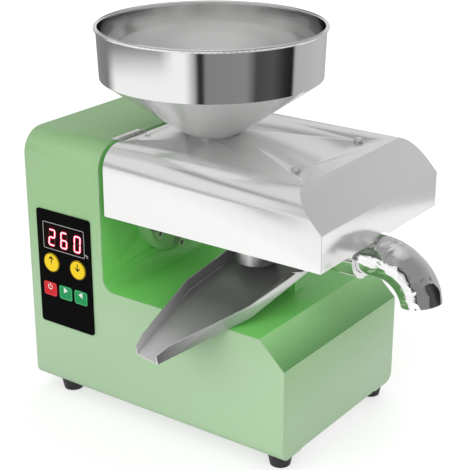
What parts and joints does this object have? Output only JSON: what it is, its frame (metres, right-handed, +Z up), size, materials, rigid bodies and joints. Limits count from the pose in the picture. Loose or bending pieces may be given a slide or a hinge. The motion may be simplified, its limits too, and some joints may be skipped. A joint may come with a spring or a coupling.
{
  "type": "screw oil press",
  "caption": "Household screw oil press: green housing with control column, hinged steel hood, round hopper, oil chute to the front and a bent cake outlet on the right.",
  "frame": {"origin": "middle of the overall footprint, on the surface the feet stand on", "axes": "+X from the column to the cake outlet, -Y the front with control panel and chute, +Z up"},
  "size_m": [0.4003, 0.2753, 0.3759],
  "materials": {
    "green_paint": "satin",
    "steel": "satin",
    "polished_steel": "polished",
    "zinc_steel": "plain",
    "aluminium": "cast",
    "motor_iron": "painted",
    "black_plastic": "gloss",
    "black_matte": "matte",
    "rubber": "matte",
    "yellow_key": "satin",
    "red_key": "satin",
    "green_key": "satin",
    "board": "matte",
    "mica": "matte"
  },
  "bodies": {
    "housing": {"casing": "green_paint", "inner_panel": "green_paint", "end_panel": "green_paint", "base_plate": "zinc_steel", "feet": "rubber", "foot_screws": "zinc_steel", "end_panel_screws": "zinc_steel", "power_inlet": "black_matte", "control_panel": "black_plastic", "display_window": "black_plastic", "control_board": "board", "gear_case": "aluminium", "motor": "motor_iron", "motor_bracket": "aluminium", "screw_bearing": "polished_steel", "barrel_flange": "green_paint", "flange_bolts": "zinc_steel", "barrel": "steel", "barrel_nut": "steel", "oil_sleeve": "steel", "heater_band": "mica", "chute_rest": "green_paint", "hinge_column_leaves": "zinc_steel", "hinge_pins": "zinc_steel"},
    "cover": {"cover": "steel", "cover_rest": "zinc_steel", "cover_screws": "zinc_steel", "hinge_rivets": "zinc_steel", "hinge_cover_leaves": "zinc_steel"},
    "hopper": {"hopper": "polished_steel"},
    "chute": {"chute": "steel"},
    "outlet_elbow": {"outlet_elbow": "polished_steel"},
    "press_screw": {"press_screw": "steel"},
    "up_key": {"up_key": "yellow_key"},
    "down_key": {"down_key": "yellow_key"},
    "power_key": {"power_key": "red_key"},
    "forward_key": {"forward_key": "green_key"},
    "reverse_key": {"reverse_key": "green_key"}
  },
  "joints": [
    {"name": "cover_hinge", "type": "hinge", "parent": "housing", "child": "cover", "pos_m": [-0.1005, 0.0294, 0.2725], "axis": [0, -1, 0], "range_deg": [0, 40]},
    {"name": "hopper_lift", "type": "slide", "parent": "cover", "child": "hopper", "axis": [0, 0, 1], "range_m": [0, 0.09]},
    {"name": "chute_slide", "type": "slide", "parent": "housing", "child": "chute", "axis": [-0.1288, -0.9601, -0.2483], "range_m": [0, 0.12]},
    {"name": "elbow_swivel", "type": "hinge", "parent": "housing", "child": "outlet_elbow", "pos_m": [0.1293, 0.0294, 0.1897], "axis": [1, 0, 0], "range_deg": [-90, 90]},
    {"name": "screw_spin", "type": "hinge", "parent": "housing", "child": "press_screw", "pos_m": [0.0023, 0.0294, 0.1897], "axis": [1, 0, 0], "continuous": true},
    {"name": "up_press", "type": "slide", "parent": "housing", "child": "up_key", "axis": [0, 1, 0], "range_m": [0, 0.0008], "stiffness_N_per_m": 600},
    {"name": "down_press", "type": "slide", "parent": "housing", "child": "down_key", "axis": [0, 1, 0], "range_m": [0, 0.0008], "stiffness_N_per_m": 600},
    {"name": "power_press", "type": "slide", "parent": "housing", "child": "power_key", "axis": [0, 1, 0], "range_m": [0, 0.0008], "stiffness_N_per_m": 600},
    {"name": "forward_press", "type": "slide", "parent": "housing", "child": "forward_key", "axis": [0, 1, 0], "range_m": [0, 0.0008], "stiffness_N_per_m": 600},
    {"name": "reverse_press", "type": "slide", "parent": "housing", "child": "reverse_key", "axis": [0, 1, 0], "range_m": [0, 0.0008], "stiffness_N_per_m": 600}
  ]
}
